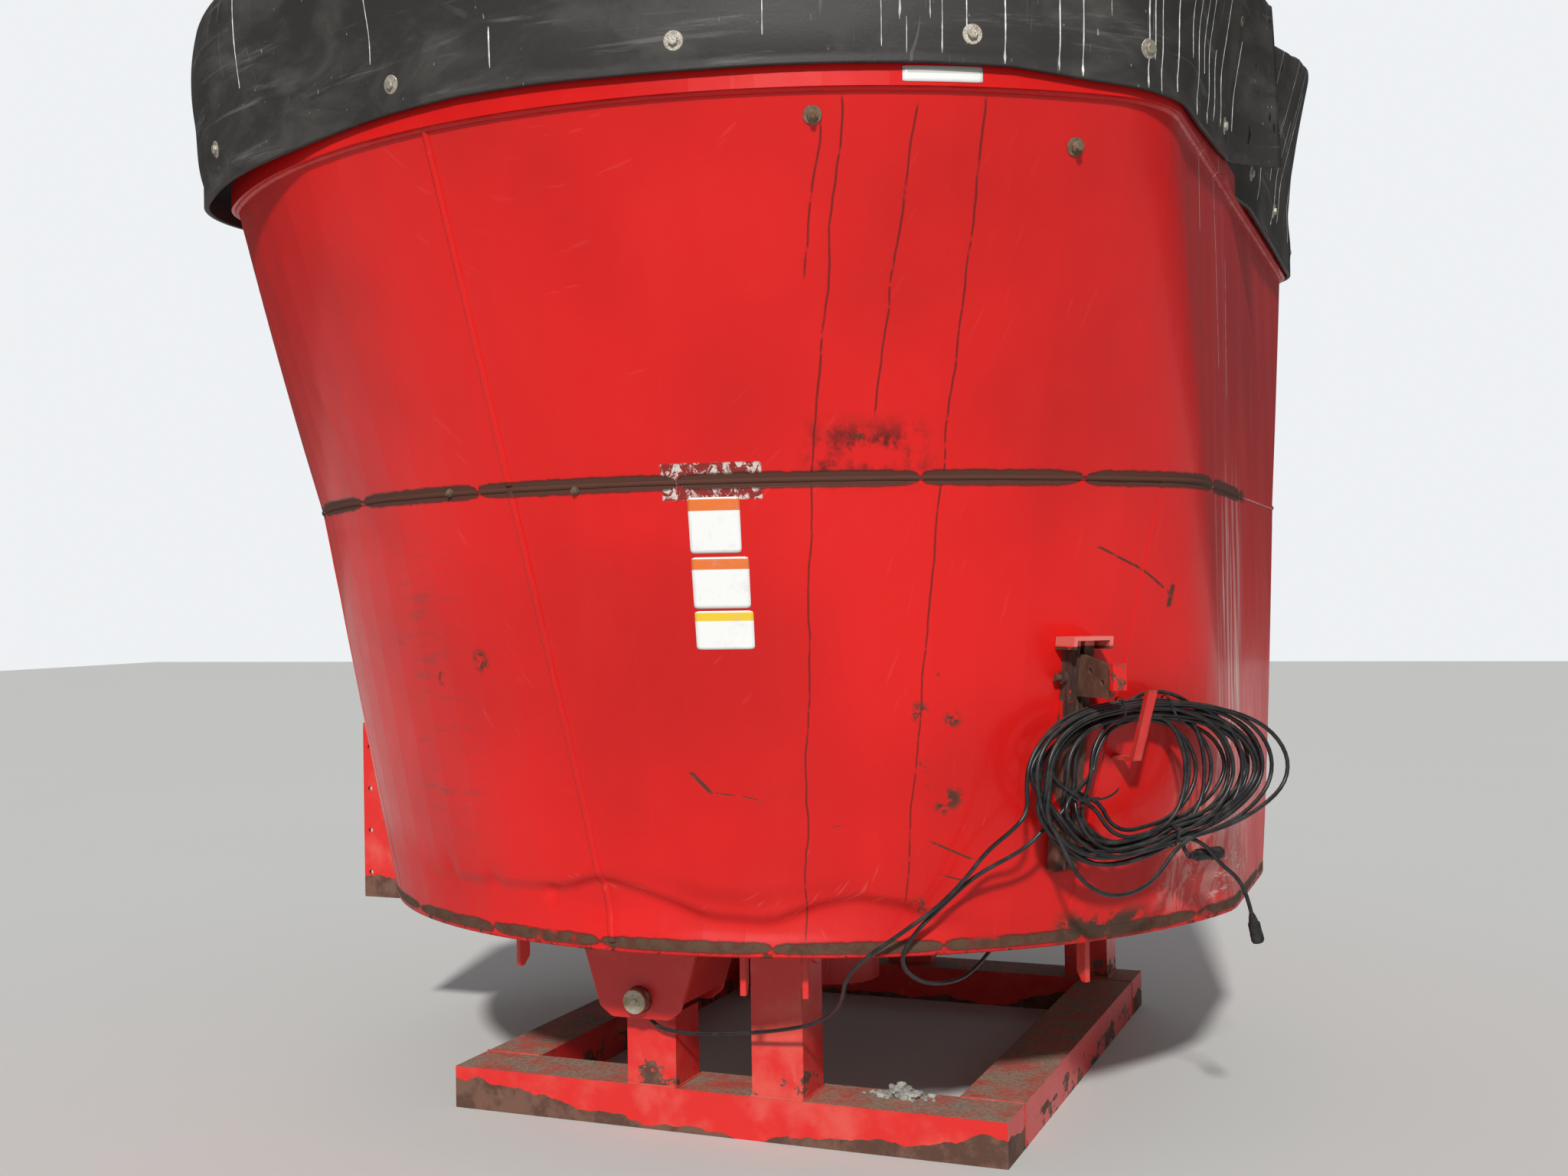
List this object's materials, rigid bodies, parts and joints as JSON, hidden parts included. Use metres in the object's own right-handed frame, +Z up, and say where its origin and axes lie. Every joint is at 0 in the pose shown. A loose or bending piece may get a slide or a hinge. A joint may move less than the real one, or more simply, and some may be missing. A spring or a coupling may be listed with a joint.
{
  "type": "stationary vertical feed mixer",
  "caption": "Stationary vertical feed mixer: flat-sided steel tub with a rubber ring on weigh bars over a tube skid, with a vertical auger, a sliding door and a restrictor blade.",
  "frame": {"origin": "on the floor under the auger's axis, which is the middle of the skid", "axes": "+Z up along the auger's axis; -Y to the front beam, where the weigh bar shows; -X to the discharge door"},
  "size_m": [2.5803, 3.2843, 2.6953],
  "materials": {
    "red": "gloss red paint, chipped and dusty",
    "tub_red": "gloss red paint, streaked",
    "worn_steel": "worn bare steel with rust",
    "blade_steel": "plain steel",
    "cylinder_paint": "black paint",
    "rod_chrome": "polished",
    "belt_rubber": "dull black rubber with pale streaks",
    "cable_rubber": "dull black cable sheath",
    "plug_plastic": "moulded black plastic"
  },
  "bodies": {
    "root": {"front_beam": "red", "rear_beam": "red", "left_rail": "red", "right_rail": "red", "front_post": "red", "stay_post": "red", "rear_left_post": "red", "rear_right_post": "red", "front_bracket": "red", "rear_left_bracket": "red", "rear_right_bracket": "red", "stay_lugs": "red", "floor_ribs": "red", "door_frame": "red", "door_tracks": "red", "cylinder_bracket": "red", "restrictor_sleeve": "red", "cable_hook": "red", "gearbox": "red", "shaft_carrier": "red", "bar_saddles": "red", "front_lower_wall": "tub_red", "rear_lower_wall": "tub_red", "left_lower_wall": "tub_red", "right_lower_wall": "tub_red", "front_upper_wall": "tub_red", "rear_upper_wall": "tub_red", "left_upper_wall": "tub_red", "right_upper_wall": "tub_red", "rim_band": "tub_red", "tub_floor": "worn_steel", "weigh_bars": "blade_steel", "cylinder_barrel": "cylinder_paint", "front_belt": "belt_rubber", "rear_belt": "belt_rubber", "hank_near": "cable_rubber", "hank_far": "cable_rubber", "front_lead": "cable_rubber", "rear_lead": "cable_rubber", "hanging_lead": "cable_rubber", "hanging_plug": "plug_plastic", "lying_plug": "plug_plastic"},
    "auger": {"auger_core": "worn_steel", "flighting": "worn_steel", "knives": "blade_steel"},
    "door": {"discharge_door": "red", "cylinder_rod": "rod_chrome"},
    "restrictor": {"restrictor_blade": "worn_steel"},
    "input": {"input_shaft": "blade_steel"}
  },
  "joints": [
    {"name": "auger_spin", "type": "hinge", "parent": "root", "child": "auger", "pos_m": [0, 0, 0.6], "axis": [0, 0, 1], "continuous": true},
    {"name": "input_spin", "type": "hinge", "parent": "root", "child": "input", "pos_m": [0, 0.5, 0.3], "axis": [0, 1, 0], "continuous": true},
    {"name": "door_slide", "type": "slide", "parent": "root", "child": "door", "axis": [0, 0, 1], "range_m": [0, 0.39]},
    {"name": "restrictor_slide", "type": "slide", "parent": "root", "child": "restrictor", "axis": [-0.6997, 0.7145, 0], "range_m": [0, 0.118]}
  ],
  "couplings": [
    {"joint": "input_spin", "follows": "auger_spin", "ratio": 16}
  ]
}
